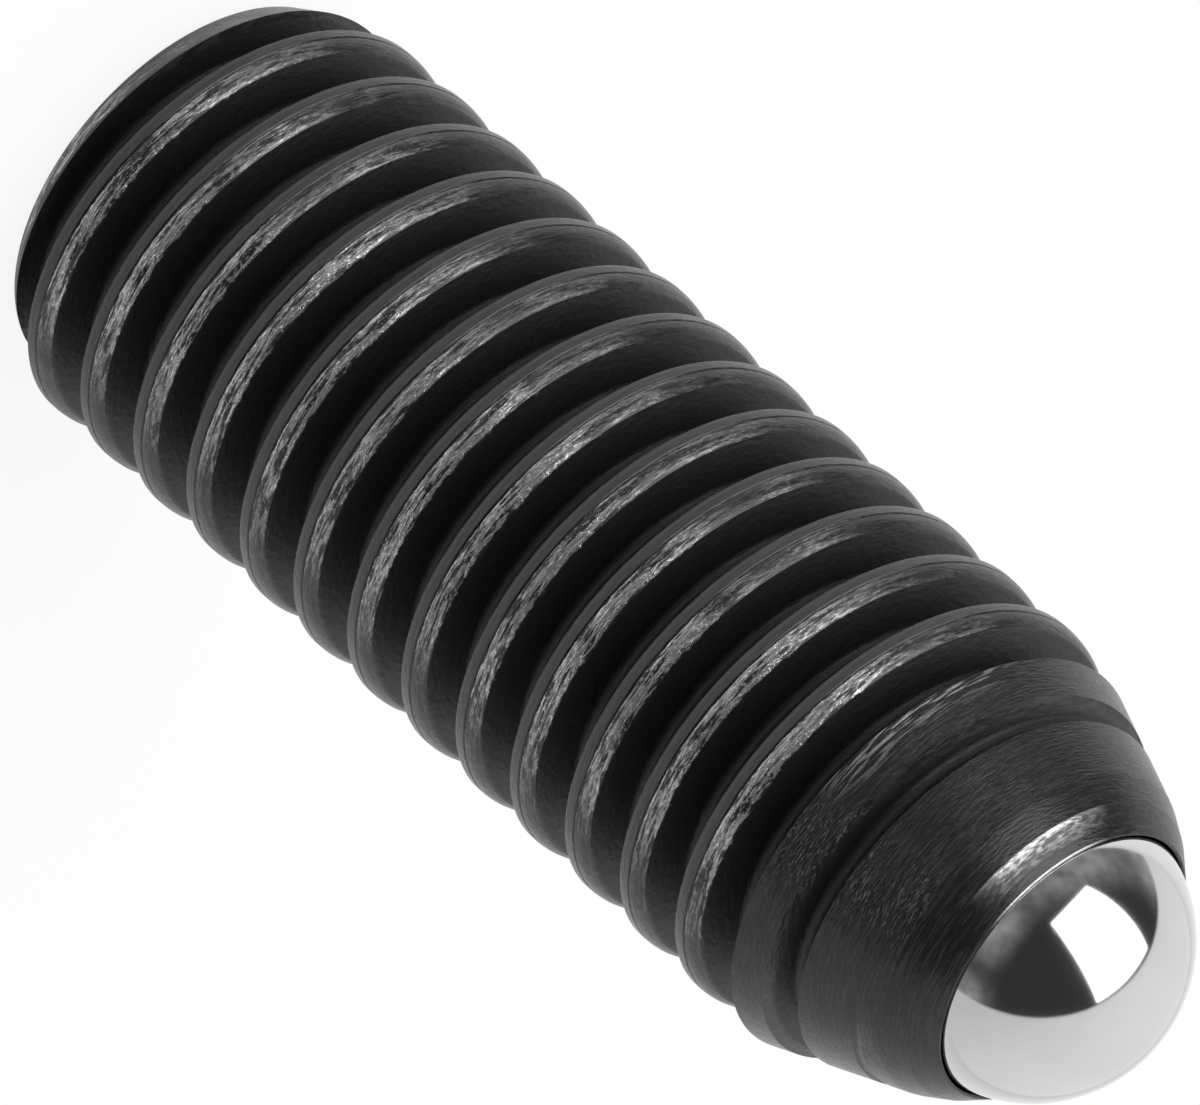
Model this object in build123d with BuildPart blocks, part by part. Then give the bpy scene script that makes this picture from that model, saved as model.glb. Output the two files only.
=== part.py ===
"""Spring plunger with a ball nose: a threaded steel body, a coil spring in its bore and a steel ball.

Millimetres. The origin is the centre of the flat rear end, and +Z runs along the axis to the ball.
"""
import os
from math import ceil, cos, pi, radians, sin, sqrt, tan

from build123d import *

# Thread: metric profile with 60 degrees between the flanks
thread_diameter = 6.0
thread_pitch = 1.0
left_hand_thread = True
groove_height_at_x = 0.33      # height at which a groove's middle crosses the +X side of the body

# Body
body_length = 16.25
end_chamfer = 0.6              # 45 degrees, down to about the root of the thread
nose_angle = 20.0              # the cone ahead of the thread, measured from the axis
lip_angle = 33.5               # the rolled lip that holds the ball, measured from the axis
lip_length = 0.62
rim_width = 0.025              # flat ring at the front of the lip

# Ball and its bore
ball_diameter = 3.82
ball_clearance = 0.05          # between the ball and the wall of the bore
lip_bite = 0.054               # how far the lip reaches in over the ball, on each side
mouth_flare = 0.012            # the mouth opens by this much on each side, ahead of the bite
mouth_depth = 0.02             # from the rim back to the bite
roll_length = 0.35             # the stretch of bore wall that is rolled inward
bore_depth = 10.0              # at full diameter, from the rim
drill_point_angle = 118.0

# Spring
wire_diameter = 0.55
active_turns = 5               # between the closed end turns
wire_sides = 6
lengths_per_turn = 16
spring_clearance = 0.2         # between the spring and the wall of the bore
coil_gap = 0.03                # between a closed end turn and the next one
seat_gap = 0.02                # between the ball and what it rests against: the lip and the spring

# Hexagon socket in the rear end
key_size = 3.0                 # across the flats
socket_depth = 3.0
socket_lead_in = 0.15          # countersink past the corners of the hexagon
pilot_clearance = 0.03         # the pilot hole is this much wider than the flats, on each side

# Thread form, worked out from the pitch
thread_radius = thread_diameter / 2
groove_depth = 0.6134 * thread_pitch
half_flank = tan(radians(30))
groove_overcut = 0.05 * thread_pitch
half_mouth = thread_pitch * 7 / 16 + groove_overcut * half_flank
half_root = thread_pitch * 7 / 16 - groove_depth * half_flank

# Nose, worked back from the rim
ball_radius = ball_diameter / 2
bore_radius = ball_radius + ball_clearance
bite_radius = ball_radius - lip_bite
rim_inner_radius = bite_radius + mouth_flare
rim_outer_radius = rim_inner_radius + rim_width
lip_start = body_length - lip_length
lip_start_radius = rim_outer_radius + lip_length * tan(radians(lip_angle))
nose_start = lip_start - (thread_radius - lip_start_radius) / tan(radians(nose_angle))

# The ball rests up against the lip, the spring up against the ball
bite_height = body_length - mouth_depth
ball_height = bite_height - sqrt((ball_radius + seat_gap) ** 2 - bite_radius ** 2)
bore_floor = body_length - bore_depth
point_slope = tan(radians(drill_point_angle / 2))
wire_radius = wire_diameter / 2
coil_radius = bore_radius - spring_clearance - wire_radius
spring_bottom = bore_floor - spring_clearance / point_slope
spring_top = ball_height - sqrt((ball_radius + seat_gap) ** 2 - (coil_radius - wire_radius) ** 2)

os.makedirs("parts", exist_ok=True)


# Threaded body: turned from bar, thread rolled, ball and spring held in by the rolled lip
with BuildPart() as groove_turn:
    with BuildLine() as groove_path:
        Helix(
            pitch=thread_pitch,
            height=thread_pitch,
            radius=thread_radius,
            center=(0, 0, groove_height_at_x - 2 * thread_pitch),
            lefthand=left_hand_thread,
        )
    with BuildSketch(Plane(groove_path.line @ 0, x_dir=(1, 0, 0), z_dir=groove_path.line % 0)):
        with BuildLine():
            Polyline(
                (groove_overcut, half_mouth),
                (groove_overcut, -half_mouth),
                (-groove_depth, -half_root),
                (-groove_depth, half_root),
                close=True,
            )
        make_face()
    sweep(path=groove_path.line, is_frenet=True)

groove_turns = ceil(body_length / thread_pitch) + 2

with BuildPart() as threaded_body:
    with BuildSketch(Plane.XZ):
        with BuildLine():
            Polyline(
                (0, 0),
                (thread_radius - end_chamfer, 0),
                (thread_radius, end_chamfer),
                (thread_radius, nose_start),
                (lip_start_radius, lip_start),
                (rim_outer_radius, body_length),
                (0, body_length),
                close=True,
            )
        make_face()
    revolve(axis=Axis.Z)

    with Locations([(0, 0, turn * thread_pitch) for turn in range(groove_turns)]):
        add(groove_turn.part, mode=Mode.SUBTRACT)

    # Drilled bore, with its mouth rolled in over the ball
    with BuildSketch(Plane.XZ):
        with BuildLine():
            Polyline(
                (0, bore_floor - bore_radius / point_slope),
                (bore_radius, bore_floor),
                (bore_radius, bite_height - roll_length),
                (bite_radius, bite_height),
                (rim_inner_radius, body_length),
                (0, body_length),
                close=True,
            )
        make_face()
    revolve(axis=Axis.Z, mode=Mode.SUBTRACT)

    # Hexagon socket: pilot hole with its drill point, broached flats, countersunk corners
    pilot_radius = key_size / 2 + pilot_clearance
    lead_in_radius = key_size / sqrt(3) + socket_lead_in
    with BuildSketch(Plane.XZ):
        with BuildLine():
            Polyline(
                (0, 0),
                (lead_in_radius, 0),
                (pilot_radius, lead_in_radius - pilot_radius),
                (pilot_radius, socket_depth),
                (0, socket_depth + pilot_radius / point_slope),
                close=True,
            )
        make_face()
    revolve(axis=Axis.Z, mode=Mode.SUBTRACT)
    with BuildSketch(Plane.XY):
        RegularPolygon(radius=key_size / 2, side_count=6, major_radius=False)
    extrude(amount=socket_depth, mode=Mode.SUBTRACT)

threaded_body.part.label = "threaded_body"
export_step(threaded_body.part, "parts/threaded_body.step")


# Spring: both end turns closed and ground flat, the wire six-sided and in short straight lengths
closed_pitch = wire_diameter + coil_gap
path_bottom = spring_bottom - wire_radius / 2
path_top = spring_top + wire_radius / 2
active_pitch = (path_top - path_bottom - 2 * closed_pitch) / active_turns
total_turns = active_turns + 2


def wire_point(turn):
    """The middle of the wire, counted in turns from its lower end."""
    if turn <= 1:
        height = path_bottom + closed_pitch * turn
    elif turn < total_turns - 1:
        height = path_bottom + closed_pitch + active_pitch * (turn - 1)
    else:
        height = path_top - closed_pitch * (total_turns - turn)
    return coil_radius * cos(2 * pi * turn), coil_radius * sin(2 * pi * turn), height


with BuildPart() as spring:
    with BuildLine() as wire_path:
        Polyline(*[wire_point(i / lengths_per_turn) for i in range(total_turns * lengths_per_turn + 1)])
    with BuildSketch(Plane(wire_path.line @ 0, x_dir=(1, 0, 0), z_dir=wire_path.line % 0)):
        RegularPolygon(radius=wire_radius, side_count=wire_sides, rotation=180 / wire_sides)
    sweep(path=wire_path.line, transition=Transition.RIGHT)
    for ground_plane, outward in ((spring_bottom, -1), (spring_top, 1)):
        with BuildSketch(Plane.XY.offset(ground_plane)):
            Circle(bore_radius)
        extrude(amount=outward * wire_diameter, mode=Mode.SUBTRACT)

spring.part.label = "spring"
export_step(spring.part, "parts/spring.step")


# Ball: hardened bearing steel, ground and polished
with BuildPart() as ball:
    with Locations((0, 0, ball_height)):
        Sphere(ball_radius)

ball.part.label = "ball"
export_step(ball.part, "parts/ball.step")
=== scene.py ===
from math import ceil, cos, pi, radians, sin, sqrt, tan

import bmesh
import bpy
from mathutils import Matrix, Quaternion, Vector


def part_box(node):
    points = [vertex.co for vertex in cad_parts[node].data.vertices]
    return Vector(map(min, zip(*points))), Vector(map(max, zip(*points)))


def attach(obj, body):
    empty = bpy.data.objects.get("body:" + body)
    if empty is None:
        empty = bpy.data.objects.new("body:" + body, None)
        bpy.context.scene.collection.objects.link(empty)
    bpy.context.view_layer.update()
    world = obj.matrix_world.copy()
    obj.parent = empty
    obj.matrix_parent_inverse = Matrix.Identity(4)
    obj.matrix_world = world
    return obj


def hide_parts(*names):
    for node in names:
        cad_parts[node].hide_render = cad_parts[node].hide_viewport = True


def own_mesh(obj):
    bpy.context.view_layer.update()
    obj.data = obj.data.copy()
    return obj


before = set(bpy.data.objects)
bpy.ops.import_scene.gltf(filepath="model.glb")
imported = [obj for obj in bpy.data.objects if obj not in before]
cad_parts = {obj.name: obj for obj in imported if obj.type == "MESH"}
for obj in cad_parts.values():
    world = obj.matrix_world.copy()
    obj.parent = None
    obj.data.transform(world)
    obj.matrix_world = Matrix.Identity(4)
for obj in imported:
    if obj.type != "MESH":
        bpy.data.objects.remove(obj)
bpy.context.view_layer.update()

scene = bpy.context.scene
mm = 0.001


# Threaded body. One piece of steel, turned and bored from bar, its thread rolled and its lip rolled in over
# the ball, then blackened. It is made here as a turned blank, cut down to what lies inside a long threaded
# rod, with the hexagon socket cut in from behind.
body_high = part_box("threaded_body")[1]
thread_radius = body_high.x
body_length = body_high.z
pitch = 1.0 * mm
groove_height = 0.33 * mm          # a groove's middle crosses the +X side here, and a pitch further each time
groove_depth = 0.6134 * pitch      # this depth, the flanks and the crest's width are those of a metric thread
crest_width = pitch / 8
flank_slope = tan(radians(30))
half_mouth = (pitch - crest_width) / 2
half_root = half_mouth - groove_depth * flank_slope
root_radius = thread_radius - groove_depth
crest_rounding = 0.02 * mm
root_rounding = 0.07 * mm
steps_round = 216
merge_distance = 1e-7

# Rolling has spread each crest a little to the rear and left a full, round shoulder in front of it, with a
# fine seam between the two
crest_spread = 0.03 * pitch
seam_back = (thread_radius - 0.004 * mm, 0.545 * pitch)
seam_bottom = (thread_radius - 0.022 * mm, 0.561 * pitch)
shoulder_start = (thread_radius - 0.008 * mm, 0.577 * pitch)
shoulder_radius = 0.3 * mm
shoulder_angles = [radians(angle) for angle in range(6, 47, 8)]

end_chamfer = 0.6 * mm
land_low = (2.633 * mm, 0.109 * mm)     # rolling has also left a land, at 27 degrees, across the chamfer
land_high = (2.926 * mm, 0.68 * mm)
nose_slope = tan(radians(20))
lip_slope = tan(radians(33.5))
lip_length = 0.62 * mm
lip_crease = 0.32 * mm             # from the lip's start to the worn crease across its middle
lip_fullness = 0.034 * mm          # the crease stands this much outside the straight lip
rim_inner_radius = 1.868 * mm
rim_outer_radius = 1.893 * mm
bite_radius = 1.856 * mm
mouth_depth = 0.02 * mm
roll_length = 0.35 * mm
bore_radius = 1.96 * mm
bore_depth = 10.0 * mm
point_slope = tan(radians(59))
key_size = 3.0 * mm
key_radius = key_size / sqrt(3)
socket_depth = 3.0 * mm
pilot_radius = 1.53 * mm
lead_in_radius = key_radius + 0.15 * mm


def outline(bm, points):
    """A line of edges in the XZ plane through (radius, height, rounding) points, its corners rounded."""
    verts = [bm.verts.new((radius, 0, height)) for radius, height, rounding in points]
    for pair in zip(verts, verts[1:]):
        bm.edges.new(pair)
    for corner, (radius, height, rounding) in zip(verts, points):
        if rounding:
            bmesh.ops.bevel(bm, geom=[corner], offset=rounding, offset_type="OFFSET", segments=3,
                            profile=0.5, affect="VERTICES", material=-1)


def finished(bm, name):
    """A mesh object from a bmesh, with doubles merged and its faces pointing outwards."""
    bmesh.ops.remove_doubles(bm, verts=bm.verts[:], dist=merge_distance)
    bmesh.ops.recalc_face_normals(bm, faces=bm.faces[:])
    mesh = bpy.data.meshes.new(name)
    bm.to_mesh(mesh)
    bm.free()
    piece = bpy.data.objects.new(name, mesh)
    scene.collection.objects.link(piece)
    return piece


def only(kind, geometry):
    """The verts or edges among the mixed parts that a bmesh operator gives back."""
    return [part for part in geometry if isinstance(part, kind)]


# The rod: one pitch of the thread's section, spun left-handed for one turn, then repeated and capped
rod_overhang = 2 * pitch
rod_turns = ceil(body_length / pitch) + 2
shoulder_centre = (shoulder_start[0] - shoulder_radius * cos(shoulder_angles[0]),
                   shoulder_start[1] - shoulder_radius * sin(shoulder_angles[0]))
shoulder = [(shoulder_centre[0] + shoulder_radius * cos(angle),
             shoulder_centre[1] + shoulder_radius * sin(angle), 0) for angle in shoulder_angles]
bm = bmesh.new()
outline(bm, [
    (root_radius, 0, 0),
    (root_radius, half_root, root_rounding),
    (thread_radius, half_mouth - crest_spread, crest_rounding),
    (*seam_back, 0),
    (*seam_bottom, 0),
    *shoulder,
    (root_radius, pitch - half_root, root_rounding),
    (root_radius, pitch, 0),
])
bmesh.ops.translate(bm, verts=bm.verts[:], vec=(0, 0, groove_height - rod_overhang))
bmesh.ops.spin(bm, geom=bm.verts[:] + bm.edges[:], cent=(0, 0, 0), axis=(0, 0, -1),
               dvec=(0, 0, pitch / steps_round), angle=2 * pi, steps=steps_round, use_merge=False)
turn = bm.verts[:] + bm.edges[:] + bm.faces[:]
for number in range(1, rod_turns):
    copy = bmesh.ops.duplicate(bm, geom=turn)["geom"]
    bmesh.ops.translate(bm, verts=only(bmesh.types.BMVert, copy), vec=(0, 0, number * pitch))
bmesh.ops.remove_doubles(bm, verts=bm.verts[:], dist=merge_distance)
for centre in (Vector((0, 0, -rod_overhang)), Vector((0, 0, body_length + rod_overhang))):
    ring = [e for e in bm.edges if e.is_boundary and (e.verts[0].co.z < body_length / 2) == (centre.z < 0)]
    fan = bmesh.ops.extrude_edge_only(bm, edges=ring)["geom"]
    bmesh.ops.pointmerge(bm, verts=only(bmesh.types.BMVert, fan), merge_co=centre)
rod = finished(bm, "rod")

# The blank: its section from the bottom of the socket's drill point, round the outside, to the bottom of the
# bore. It is a little fuller than the thread, so that the rod trims it.
spare = 0.05 * mm
lip_start = body_length - lip_length
lip_start_radius = rim_outer_radius + lip_length * lip_slope
blank_radius = thread_radius + spare
nose_start = lip_start - (blank_radius - lip_start_radius) / nose_slope
bite_height = body_length - mouth_depth
bore_floor = body_length - bore_depth
chamfer_radius = thread_radius - end_chamfer
bm = bmesh.new()
outline(bm, [
    (0, socket_depth + pilot_radius / point_slope, 0),
    (pilot_radius, socket_depth, 0),
    (pilot_radius, lead_in_radius - pilot_radius, 0),
    (lead_in_radius, 0, 0.02 * mm),
    (chamfer_radius, 0, 0.03 * mm),
    (*land_low, 0.04 * mm),
    (*land_high, 0),
    (blank_radius, land_high[1] + blank_radius - land_high[0], 0),
    (blank_radius, nose_start, 0),
    (lip_start_radius, lip_start, 0.04 * mm),
    (lip_start_radius - lip_crease * lip_slope + lip_fullness, lip_start + lip_crease, 0.01 * mm),
    (rim_outer_radius, body_length, 0.015 * mm),
    (rim_inner_radius, body_length, 0.008 * mm),
    (bite_radius, bite_height, 0),
    (bore_radius, bite_height - roll_length, 0),
    (bore_radius, bore_floor, 0),
    (0, bore_floor - bore_radius / point_slope, 0),
])
bmesh.ops.spin(bm, geom=bm.verts[:] + bm.edges[:], cent=(0, 0, 0), axis=(0, 0, 1), dvec=(0, 0, 0),
               angle=2 * pi, steps=steps_round, use_merge=True)
blank = finished(bm, "blank")

# The socket's broach
bm = bmesh.new()
bmesh.ops.create_cone(bm, cap_ends=True, cap_tris=False, segments=6, radius1=key_radius, radius2=key_radius,
                      depth=2 * socket_depth, matrix=Matrix.Rotation(radians(30), 4, "Z"))
broach = finished(bm, "broach")


def cut(piece, tool, operation):
    """Applies a boolean to piece and throws the tool away."""
    boolean = piece.modifiers.new("cut", "BOOLEAN")
    boolean.object, boolean.operation, boolean.solver = tool, operation, "MANIFOLD"
    shaped = bpy.data.meshes.new_from_object(piece.evaluated_get(bpy.context.evaluated_depsgraph_get()))
    piece.modifiers.clear()
    piece.data = shaped
    bpy.data.objects.remove(tool)


def smooth(piece):
    """Shades piece smooth, but for its sharp edges."""
    piece.data.shade_smooth()
    piece.data.set_sharp_from_angle(angle=radians(26))


cut(blank, rod, "INTERSECT")
cut(blank, broach, "DIFFERENCE")
blackened_body = blank
blackened_body.name = blackened_body.data.name = "blackened_body"
smooth(blackened_body)


def node(tree, kind, **settings):
    """A node of a material or group, with its plain settings and its input values."""
    made = tree.nodes.new(kind)
    for key, value in settings.items():
        if hasattr(made, key):
            setattr(made, key, value)
        else:
            made.inputs[key].default_value = value
    return made


def maths(tree, operation, a, b=None, c=None, clamp=False):
    """One sum on masks or numbers; a, b and c are sockets or values. Returns the result's socket."""
    made = tree.nodes.new("ShaderNodeMath")
    made.operation, made.use_clamp = operation, clamp
    for place, value in zip(made.inputs, (a, b, c)):
        if isinstance(value, bpy.types.NodeSocket):
            tree.links.new(value, place)
        elif value is not None:
            place.default_value = value
    return made.outputs[0]


def step(tree, value, low, high, smooth_ends=True):
    """0 where value is short of low, 1 where it is past high."""
    made = tree.nodes.new("ShaderNodeMapRange")
    made.interpolation_type = "SMOOTHSTEP" if smooth_ends else "LINEAR"
    tree.links.new(value, made.inputs["Value"])
    made.inputs["From Min"].default_value, made.inputs["From Max"].default_value = low, high
    return made.outputs[0]


def band(tree, value, low, high, soft):
    """1 where value lies between low and high, falling to 0 over soft on each side of both."""
    return maths(tree, "MULTIPLY", step(tree, value, low - soft, low + soft),
                 step(tree, value, high + soft, high - soft))


def noise(tree, vector, scale, detail, roughness):
    """Noise around 0.5, in patches of which scale fit into a metre."""
    made = node(tree, "ShaderNodeTexNoise", Scale=scale, Detail=detail, Roughness=roughness)
    tree.links.new(vector, made.inputs["Vector"])
    return made.outputs["Fac"]


def mixed(tree, share, first, second):
    """The colour first where share is 0 and second where it is 1. Both are colours or sockets."""
    made = node(tree, "ShaderNodeMix", data_type="RGBA")
    tree.links.new(share, made.inputs[0])
    for place, colour in zip(made.inputs[6:8], (first, second)):
        if isinstance(colour, bpy.types.NodeSocket):
            tree.links.new(colour, place)
        else:
            place.default_value = colour
    return made.outputs[2]


def streaks_group():
    """Streaks along a piece's travel through its tool. Along and Around say how many there are in a
    millimetre, Sharp how few of them show, and Soft how gently each fades."""
    group = bpy.data.node_groups.new("tool_streaks", "ShaderNodeTree")
    for name, value in (("Along", 40.0), ("Around", 2.0), ("Sharp", 0.6), ("Soft", 0.2)):
        group.interface.new_socket(name, in_out="INPUT", socket_type="NodeSocketFloat").default_value = value
    group.interface.new_socket("Vector", in_out="INPUT", socket_type="NodeSocketVector")
    group.interface.new_socket("Streaks", in_out="OUTPUT", socket_type="NodeSocketFloat")
    start, end = group.nodes.new("NodeGroupInput"), group.nodes.new("NodeGroupOutput")
    stretch = group.nodes.new("ShaderNodeCombineXYZ")
    for axis, name in (("X", "Around"), ("Y", "Around"), ("Z", "Along")):
        group.links.new(start.outputs[name], stretch.inputs[axis])
    place = node(group, "ShaderNodeVectorMath", operation="MULTIPLY")
    group.links.new(start.outputs["Vector"], place.inputs[0])
    group.links.new(stretch.outputs[0], place.inputs[1])
    pick = group.nodes.new("ShaderNodeMapRange")
    group.links.new(noise(group, place.outputs[0], 1000.0, 1.5, 0.5), pick.inputs["Value"])
    group.links.new(start.outputs["Sharp"], pick.inputs["From Min"])
    full = maths(group, "ADD", start.outputs["Sharp"], start.outputs["Soft"])
    group.links.new(full, pick.inputs["From Max"])
    group.links.new(pick.outputs[0], end.inputs["Streaks"])
    return group


tool_streaks = streaks_group()


def streaks(tree, vector, along, around, sharp, soft):
    """The mask of a tool_streaks group placed in a material."""
    made = node(tree, "ShaderNodeGroup", node_tree=tool_streaks,
                Along=along, Around=around, Sharp=sharp, Soft=soft)
    tree.links.new(vector, made.inputs["Vector"])
    return made.outputs["Streaks"]


def new_material(name):
    """A material, with its node tree, its main shader and the place on the piece."""
    material = bpy.data.materials.new(name)
    material.use_nodes = True
    tree = material.node_tree
    return material, tree, tree.nodes["Principled BSDF"], node(tree, "ShaderNodeTexCoord").outputs["Object"]


oiled_black = (0.0135, 0.0135, 0.0148, 1)
# Painted shade deep in the grooves, blacker than the oxide; the cone is also darkened most of the way to it
deep_black = (0.006, 0.006, 0.0065, 1)
bare_steel = (0.56, 0.56, 0.57, 1)
shoulder_low, shoulder_high = 0.582, 0.755      # in pitches from the middle of the groove behind
ragged_by = 0.07                                # how much the shoulder's edges wander, in pitches
wander_by = 0.06                                # and the edges of each worn side, in turns
crease = lip_start + lip_crease


def depth_in_blank(tree, z, radius):
    """How deep a point lies under the blank's outside: the thread's crests, the cone and the rear chamfer."""
    on_cone = maths(tree, "MULTIPLY_ADD", z, -nose_slope, lip_start_radius + lip_start * nose_slope)
    land_slope = (land_high[0] - land_low[0]) / (land_high[1] - land_low[1])
    land = maths(tree, "MULTIPLY_ADD", z, land_slope, land_high[0] - land_high[1] * land_slope)
    above_land = maths(tree, "ADD", z, land_high[0] - land_high[1])
    below_land = maths(tree, "MULTIPLY_ADD", z, (land_low[0] - chamfer_radius) / land_low[1], chamfer_radius)
    on_chamfer = maths(tree, "MINIMUM", below_land, maths(tree, "MAXIMUM", land, above_land))
    outside = maths(tree, "MINIMUM", maths(tree, "MINIMUM", on_cone, on_chamfer), thread_radius)
    return maths(tree, "SUBTRACT", outside, radius)


def shoulder_wear_and_sheen(tree, place, along_thread, height, heading, wandering, patches, fine_streaks):
    """Bright streaks on the shoulder in front of each crest, which run with the thread. They are dense on the
    side towards the camera as painted highlight, and sparser to either side of it."""
    ragged = maths(tree, "MULTIPLY_ADD", noise(tree, place, 7000.0, 2.0, 0.6), ragged_by, -ragged_by / 2)
    ragged_height = maths(tree, "ADD", height, ragged)
    shoulder_band = band(tree, ragged_height, shoulder_low, shoulder_high, 0.008)
    low_edge = band(tree, ragged_height, shoulder_low - 0.007, shoulder_low + 0.018, 0.008)
    high_edge = band(tree, ragged_height, shoulder_high - 0.033, shoulder_high, 0.008)
    edges = maths(tree, "MAXIMUM", low_edge, high_edge)
    # Painted highlight: the streaks crowd onto the side towards the camera and thin out to either side
    dense = maths(tree, "MULTIPLY", band(tree, wandering, -0.3, -0.12, 0.05), 0.7)
    sparse = maths(tree, "MULTIPLY_ADD", band(tree, heading, -0.4, -0.07, 0.05), 0.25, 0.05)
    side = maths(tree, "MULTIPLY_ADD", patches, sparse, dense)
    plates = streaks(tree, along_thread, 24.0, 2.2, 0.42, 0.08)
    specks = streaks(tree, along_thread, 50.0, 15.0, 0.56, 0.1)
    rubbed_and_sheen = maths(tree, "MULTIPLY", plates, maths(tree, "MULTIPLY_ADD", fine_streaks, 0.6, 0.3))
    rubbed_and_sheen = maths(tree, "MULTIPLY_ADD", specks, 0.5, rubbed_and_sheen)
    rubbed_and_sheen = maths(tree, "MULTIPLY_ADD", edges, maths(tree, "MULTIPLY", plates, 0.35), rubbed_and_sheen)
    return maths(tree, "MULTIPLY", maths(tree, "MULTIPLY", rubbed_and_sheen, shoulder_band), side)


def cone_marks_and_sheen(tree, place, z, wandering, wear_and_sheen_side, patches, on_cone):
    """Turning marks round the cone, clear only at its large end on the side towards the camera, with faint
    chatter beside them and scratches on a narrow part of that side: real marks, crowded there as painted
    highlight."""
    turned = streaks(tree, place, 40.0, 2.4, 0.5, 0.12)
    chatter = maths(tree, "MULTIPLY", streaks(tree, place, 60.0, 12.0, 0.56, 0.1), patches)
    # Painted highlight: the marks show clearly only on the side towards the camera
    large_end = band(tree, z, lip_start - 2.0 * mm, lip_start - 1.5 * mm, 0.2 * mm)
    large_end = maths(tree, "MULTIPLY", wear_and_sheen_side, large_end)
    marks = maths(tree, "MULTIPLY", turned, maths(tree, "MULTIPLY_ADD", large_end, 0.9, 0.05))
    scratches_and_sheen = maths(tree, "MULTIPLY", band(tree, wandering, -0.25, -0.16, 0.04), on_cone)
    return maths(tree, "MULTIPLY_ADD", chatter, maths(tree, "MULTIPLY", scratches_and_sheen, 0.24), marks)


def lip_wear_and_sheen(tree, place, z, wear_and_sheen_side):
    """A bright line along the lip's crease, and grain that fades from there towards the rim, on the side
    towards the camera: worn steel, kept to that side as painted highlight.
    """
    crease_line = band(tree, z, crease - 0.012 * mm, crease + 0.02 * mm, 0.006 * mm)
    beyond_crease = band(tree, z, crease - 0.012 * mm, crease + 0.19 * mm, 0.006 * mm)
    grain = maths(tree, "MULTIPLY_ADD", streaks(tree, place, 30.0, 7.0, 0.42, 0.2), 0.7, 0.2)
    fade = maths(tree, "MULTIPLY_ADD", step(tree, z, crease, crease + 0.2 * mm), -0.7, 1.0)
    worn = maths(tree, "MULTIPLY", maths(tree, "MULTIPLY", grain, fade), beyond_crease)
    # Painted highlight: all of it only on the side towards the camera
    return maths(tree, "MULTIPLY", maths(tree, "MULTIPLY_ADD", crease_line, 0.5, worn), wear_and_sheen_side)


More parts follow.
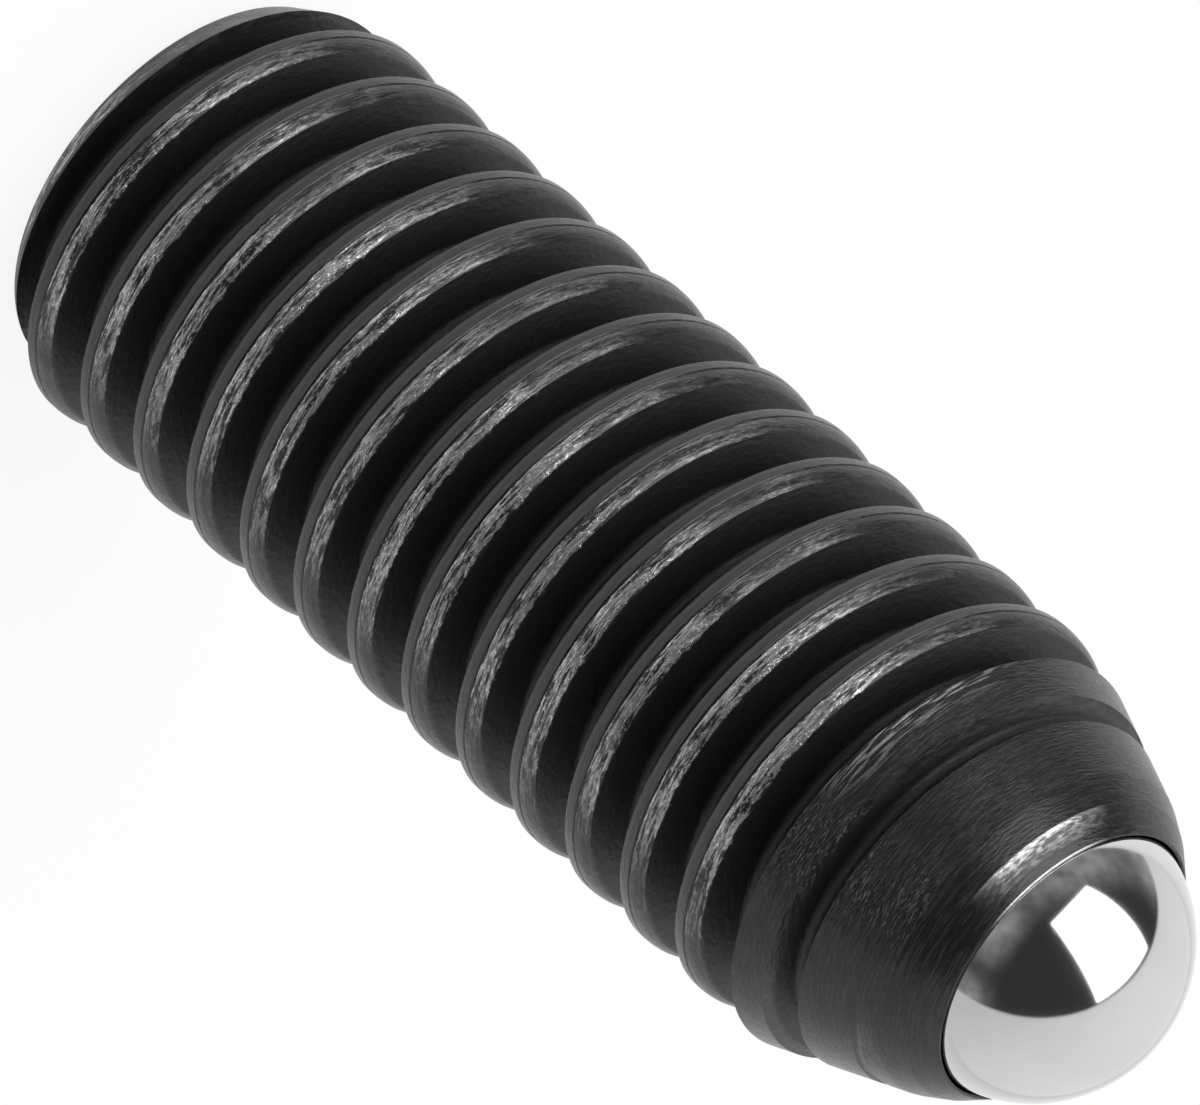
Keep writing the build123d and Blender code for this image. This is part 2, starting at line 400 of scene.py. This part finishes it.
def black_oxide():
    """Blackened steel under a film of oil: worn bare on the shoulders of its thread, on the lip's crease and
    at the rim, with turning marks on its cone, and dull down in the grooves. The bare steel and the clear
    marks crowd onto the side towards the camera as painted highlight, and the grooves carry painted shade."""
    material, tree, shader, place = new_material("black_oxide")
    shader.inputs["IOR"].default_value = 1.5
    split = node(tree, "ShaderNodeSeparateXYZ")
    tree.links.new(place, split.inputs[0])
    x, y, z = split.outputs
    radius_squared = maths(tree, "MULTIPLY_ADD", x, x, maths(tree, "MULTIPLY", y, y))
    radius = maths(tree, "SQRT", radius_squared)

    # In turns from +X towards +Y, so that -0.25 is the -Y side
    heading = maths(tree, "DIVIDE", maths(tree, "ARCTAN2", y, x), 2 * pi)

    # Where a point lies between one groove's middle, 0, and the next one's, 1: the crest is at 0.5
    pitches = maths(tree, "DIVIDE", maths(tree, "SUBTRACT", z, groove_height), pitch)
    turns = maths(tree, "ADD", pitches, heading)
    height = maths(tree, "FRACT", turns)
    along_thread = tree.nodes.new("ShaderNodeCombineXYZ")
    for value, socket in zip((x, y, maths(tree, "MULTIPLY", turns, pitch)), along_thread.inputs):
        tree.links.new(value, socket)
    along_thread = along_thread.outputs[0]

    on_nose = step(tree, z, lip_start - 2.0 * mm, lip_start - 1.7 * mm)
    on_thread = maths(tree, "SUBTRACT", 1.0, on_nose)
    off_lip = maths(tree, "SUBTRACT", 1.0, step(tree, z, lip_start - 0.03 * mm, lip_start + 0.05 * mm))
    off_end_face = step(tree, z, 0.01 * mm, 0.04 * mm)
    # Painted shade: deep in the grooves, where the next turn shades the flanks, the steel is made blacker,
    # and it is also rougher and never worn bare
    sunk_and_shaded = step(tree, depth_in_blank(tree, z, radius), 0.08 * mm, 0.16 * mm)
    sunk_and_shaded = maths(tree, "MULTIPLY", sunk_and_shaded, off_lip)

    slow = noise(tree, place, 900.0, 2.0, 0.5)
    patches = step(tree, slow, 0.36, 0.58)
    wandering = maths(tree, "ADD", heading, maths(tree, "MULTIPLY_ADD", slow, wander_by, -wander_by / 2))
    # Painted highlight: a side towards the camera, which the cone's clear marks and the lip's worn grain keep
    # to
    wear_and_sheen_side = band(tree, wandering, -0.385, -0.255, 0.03)
    fine_streaks = streaks(tree, along_thread, 44.0, 7.0, 0.4, 0.22)

    rubbed_and_sheen = shoulder_wear_and_sheen(tree, place, along_thread, height, heading, wandering, patches, fine_streaks)
    rubbed_and_sheen = maths(tree, "MULTIPLY", rubbed_and_sheen, maths(tree, "MULTIPLY", on_thread, off_end_face))
    crest_line = maths(tree, "MULTIPLY", band(tree, height, 0.435, 0.455, 0.012), on_thread)
    on_cone = maths(tree, "MULTIPLY", on_nose, off_lip)
    marks = cone_marks_and_sheen(tree, place, z, wandering, wear_and_sheen_side, patches, on_cone)
    lip_worn_and_sheened = lip_wear_and_sheen(tree, place, z, wear_and_sheen_side)
    # Painted highlight: bare steel on the rim's rounded edge, only on the side towards the camera
    rim_wear_and_sheen = maths(tree, "MULTIPLY", band(tree, z, body_length - 0.012 * mm, body_length + mm, 0.004 * mm),
                     band(tree, heading, -0.375, -0.245, 0.02))

    # Bare steel where the black is worn through, together with the painted highlights crowded on the side
    # towards the camera; both make the surface metallic and turn its colour to bare_steel
    wear_and_sheen = maths(tree, "MULTIPLY", rubbed_and_sheen, 0.95)
    for mask, share in ((crest_line, 0.05), (marks, 0.6), (lip_worn_and_sheened, 0.8), (rim_wear_and_sheen, 0.8)):
        wear_and_sheen = maths(tree, "MAXIMUM", wear_and_sheen, maths(tree, "MULTIPLY", mask, share))
    wear_and_sheen = maths(tree, "MULTIPLY", wear_and_sheen, maths(tree, "SUBTRACT", 1.0, sunk_and_shaded), clamp=True)
    tree.links.new(wear_and_sheen, shader.inputs["Metallic"])

    # Painted shade deep in the grooves: the base colour goes to deep_black there; the cone is also darkened
    # most of the way to it
    blackness = maths(tree, "MAXIMUM", sunk_and_shaded, maths(tree, "MULTIPLY", on_nose, 0.8))
    black = mixed(tree, blackness, oiled_black, deep_black)
    tree.links.new(mixed(tree, wear_and_sheen, black, bare_steel), shader.inputs["Base Color"])

    blotches = noise(tree, place, 9000.0, 4.0, 0.6)
    dull = maths(tree, "MULTIPLY_ADD", blotches, 0.14, 0.22)
    dull = maths(tree, "MULTIPLY_ADD", sunk_and_shaded, 0.2, dull)
    tree.links.new(maths(tree, "MULTIPLY_ADD", wear_and_sheen, -0.06, dull, clamp=True), shader.inputs["Roughness"])
    grain = maths(tree, "MULTIPLY", maths(tree, "MULTIPLY", fine_streaks, off_end_face), 0.35)
    relief = maths(tree, "MULTIPLY_ADD", blotches, 0.3, grain)
    relief = maths(tree, "ADD", relief, maths(tree, "ADD", rubbed_and_sheen, marks))
    bump = node(tree, "ShaderNodeBump", Strength=0.7, Distance=0.008 * mm)
    tree.links.new(relief, bump.inputs["Height"])
    tree.links.new(bump.outputs[0], shader.inputs["Normal"])
    return material


blackened_body.data.materials.clear()
blackened_body.data.materials.append(black_oxide())
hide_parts("threaded_body")
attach(blackened_body, "housing")


# Coil spring. Drawn steel wire wound to five open turns, with a closed turn ground flat at each end; it sits
# in the bore, on the cone that the drill left, and carries the ball.
spring_low, spring_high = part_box("spring")
wire_radius = 0.275 * mm
wire_sides = 20
steps_a_turn = 64
coil_clearance = 0.2 * mm
coil_radius = bore_radius - coil_clearance - wire_radius
closed_gap = 0.03 * mm
closed_pitch = 2 * wire_radius + closed_gap
open_turns = 5
path_low = spring_low.z - wire_radius / 2           # the wire starts and ends past the two ground faces
path_high = spring_high.z + wire_radius / 2
open_length = path_high - path_low - 2 * closed_pitch
wire_start = Matrix.Translation((coil_radius, 0, path_low)) @ Matrix.Rotation(radians(90), 4, "X")
bm = bmesh.new()
ring = bmesh.ops.create_circle(bm, cap_ends=False, segments=wire_sides, radius=wire_radius, matrix=wire_start)
geometry = ring["verts"] + list({e for v in ring["verts"] for e in v.link_edges})
for turns, length in ((1, closed_pitch), (open_turns, open_length), (1, closed_pitch)):
    steps = steps_a_turn * turns
    geometry = bmesh.ops.spin(bm, geom=geometry, cent=(0, 0, 0), axis=(0, 0, 1), dvec=(0, 0, length / steps),
                              angle=2 * pi * turns, steps=steps, use_merge=False)["geom_last"]
bmesh.ops.holes_fill(bm, edges=[e for e in bm.edges if e.is_boundary], sides=0)
for height, outward in ((spring_low.z, -1), (spring_high.z, 1)):
    sliced = bmesh.ops.bisect_plane(bm, geom=bm.verts[:] + bm.edges[:] + bm.faces[:], plane_co=(0, 0, height),
                                    plane_no=(0, 0, outward), clear_outer=True)["geom_cut"]
    bmesh.ops.contextual_create(bm, geom=only(bmesh.types.BMEdge, sliced))
coil_spring = finished(bm, "coil_spring")
smooth(coil_spring)

drawn_dark = (0.30, 0.29, 0.28, 1)
drawn_bright = (0.55, 0.55, 0.56, 1)


def drawn_wire():
    """Bright spring wire, dulled a little by the heat that set it."""
    material, tree, shader, place = new_material("drawn_wire")
    shader.inputs["Metallic"].default_value = 1.0
    drawn = streaks(tree, place, 20.0, 3.0, 0.35, 0.18)
    tree.links.new(mixed(tree, drawn, drawn_dark, drawn_bright), shader.inputs["Base Color"])
    tree.links.new(maths(tree, "MULTIPLY_ADD", drawn, -0.15, 0.42), shader.inputs["Roughness"])
    return material


coil_spring.data.materials.append(drawn_wire())
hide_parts("spring")
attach(coil_spring, "housing")
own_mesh(coil_spring)


# Ball. Hardened bearing steel, ground and polished; it is dropped in before the lip is rolled, and the spring
# holds it up against the lip.
ball_low, ball_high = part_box("ball")
ball_radius = (ball_high.x - ball_low.x) / 2
ball_centre = Vector((0, 0, ball_high.z - ball_radius))
bm = bmesh.new()
bmesh.ops.create_icosphere(bm, subdivisions=6, radius=ball_radius, matrix=Matrix.Translation(ball_centre))
bright_ball = finished(bm, "bright_ball")
bright_ball.data.shade_smooth()

polish_dark = (0.62, 0.62, 0.63, 1)
polish_bright = (0.74, 0.74, 0.75, 1)


def polished_steel():
    """Bearing steel with a mirror polish, faintly clouded."""
    material, tree, shader, place = new_material("polished_steel")
    shader.inputs["Metallic"].default_value = 1.0
    clouds = noise(tree, place, 900.0, 4.0, 0.55)
    tree.links.new(mixed(tree, clouds, polish_dark, polish_bright), shader.inputs["Base Color"])
    tree.links.new(maths(tree, "MULTIPLY_ADD", clouds, 0.06, 0.06), shader.inputs["Roughness"])
    return material


bright_ball.data.materials.append(polished_steel())
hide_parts("ball")
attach(bright_ball, "ball")


# Floor. A plain pale sheet under the rear end, which keeps a faint shadow.
floor_radius = 0.3
seen_by_camera, seen_in_metal = 0.9, 0.5        # the share of it that is plain white in whatever light
bm = bmesh.new()
bmesh.ops.create_circle(bm, cap_ends=True, segments=96, radius=floor_radius)
floor = finished(bm, "floor")
material = bpy.data.materials.new("pale_floor")
material.use_nodes = True
tree = material.node_tree
tree.nodes.clear()
matt = node(tree, "ShaderNodeBsdfDiffuse", Color=(0.9, 0.9, 0.9, 1))
glow = node(tree, "ShaderNodeEmission", Strength=1.0)
light_path = node(tree, "ShaderNodeLightPath")
seen = maths(tree, "MULTIPLY_ADD", light_path.outputs["Is Glossy Ray"], seen_in_metal,
             maths(tree, "MULTIPLY", light_path.outputs["Is Camera Ray"], seen_by_camera), clamp=True)
mix = node(tree, "ShaderNodeMixShader")
for source, socket in zip((seen, matt.outputs[0], glow.outputs[0]), mix.inputs):
    tree.links.new(source, socket)
tree.links.new(mix.outputs[0], node(tree, "ShaderNodeOutputMaterial").inputs["Surface"])
floor.data.materials.append(material)


# Studio. One large softbox above the ball's side, a white sheet beyond the part and a dim room on this side.
softbox_offset = Vector((-0.1145, -0.0591, 0.153))
softbox_across = Vector((0.326, 0.890, 0.318)).normalized()
softbox_away = Vector((-0.293, -0.225, 0.929)).normalized()
softbox_up = softbox_away.cross(softbox_across).normalized()
softbox_across = softbox_up.cross(softbox_away)
lamp = bpy.data.lights.new("softbox", "AREA")
lamp.shape, lamp.size, lamp.size_y, lamp.energy = "RECTANGLE", 0.2586, 0.1812, 0.48
softbox = bpy.data.objects.new("softbox", lamp)
scene.collection.objects.link(softbox)
softbox.matrix_world = Matrix.LocRotScale(
    ball_centre + softbox_offset, Matrix((softbox_across, softbox_up, softbox_away)).transposed(), None)

world = bpy.data.worlds.new("studio")
scene.world = world
world.use_nodes = True
tree = world.node_tree
background = tree.nodes["Background"]
direction = node(tree, "ShaderNodeTexCoord").outputs["Generated"]


def towards(aim):
    """1 for light that comes from straight along aim, -1 for light from behind."""
    made = node(tree, "ShaderNodeVectorMath", operation="DOT_PRODUCT")
    tree.links.new(direction, made.inputs[0])
    made.inputs[1].default_value = Vector(aim).normalized()
    return made.outputs["Value"]


# The room is dim and cluttered. It is paler low down, in two places and near the sheet, and darkest where it
# meets the sheet high up.
up = towards((0, 0, 1))
facing_sheet = towards((0.463, 0.875, -0.143))
left_of_camera = step(tree, towards((-0.84, -0.54, 0.05)), 0.6, 1.0, smooth_ends=False)
below_camera = step(tree, towards((0.2, -0.95, 0.23)), 0.9, 1.0, smooth_ends=False)
pale = maths(tree, "MULTIPLY_ADD", left_of_camera, 0.2, 0.06)
pale = maths(tree, "MULTIPLY_ADD", below_camera, 0.26, pale)
pale = maths(tree, "MULTIPLY_ADD", step(tree, facing_sheet, -0.35, 0.0), 0.3, pale)
clutter = maths(tree, "MULTIPLY_ADD", noise(tree, direction, 5.0, 4.0, 0.6), 2.4, -0.2)
pale = maths(tree, "MULTIPLY", pale, clutter)
room = maths(tree, "MULTIPLY_ADD", step(tree, up, 0.5, 0.1), pale, 0.04)
meeting = maths(tree, "MULTIPLY", step(tree, facing_sheet, -0.07, -0.02), step(tree, up, 0.15, 0.45))
room = maths(tree, "MULTIPLY", room, maths(tree, "MULTIPLY_ADD", meeting, -0.8, 1.0))

# The sheet is paler towards +Y and a little towards its top
paler_end = step(tree, towards((0, 1, 0)), -0.3, 1.0, smooth_ends=False)
sheet = maths(tree, "MULTIPLY_ADD", up, 0.08, maths(tree, "MULTIPLY_ADD", paler_end, 0.28, 0.68))
sheet = maths(tree, "MULTIPLY", sheet, step(tree, facing_sheet, -0.015, 0.005))
seen = node(tree, "ShaderNodeLightPath").outputs["Is Camera Ray"]
light = maths(tree, "MAXIMUM", seen, maths(tree, "MAXIMUM", sheet, room))
tree.links.new(light, background.inputs["Strength"])
background.inputs["Color"].default_value = (1, 1, 1, 1)

# Camera. A long lens in front of the ball's end, rolled so that the axis runs down to the right.
camera_roll = radians(131.543)
camera_aim = Vector((-0.000036, 0, 0.007847))
camera_data = bpy.data.cameras.new("camera")
camera_data.lens, camera_data.sensor_width = 591.8, 36.0
camera_data.clip_start, camera_data.clip_end = 0.01, 10.0
camera = bpy.data.objects.new("camera", camera_data)
scene.collection.objects.link(camera)
scene.camera = camera
camera.location = (0, -0.19999, 0.12764)
camera.rotation_mode = "QUATERNION"
level = (camera_aim - camera.location).to_track_quat("-Z", "Y")
camera.rotation_quaternion = level @ Quaternion((0, 0, 1), camera_roll)

scene.view_settings.view_transform = "Standard"
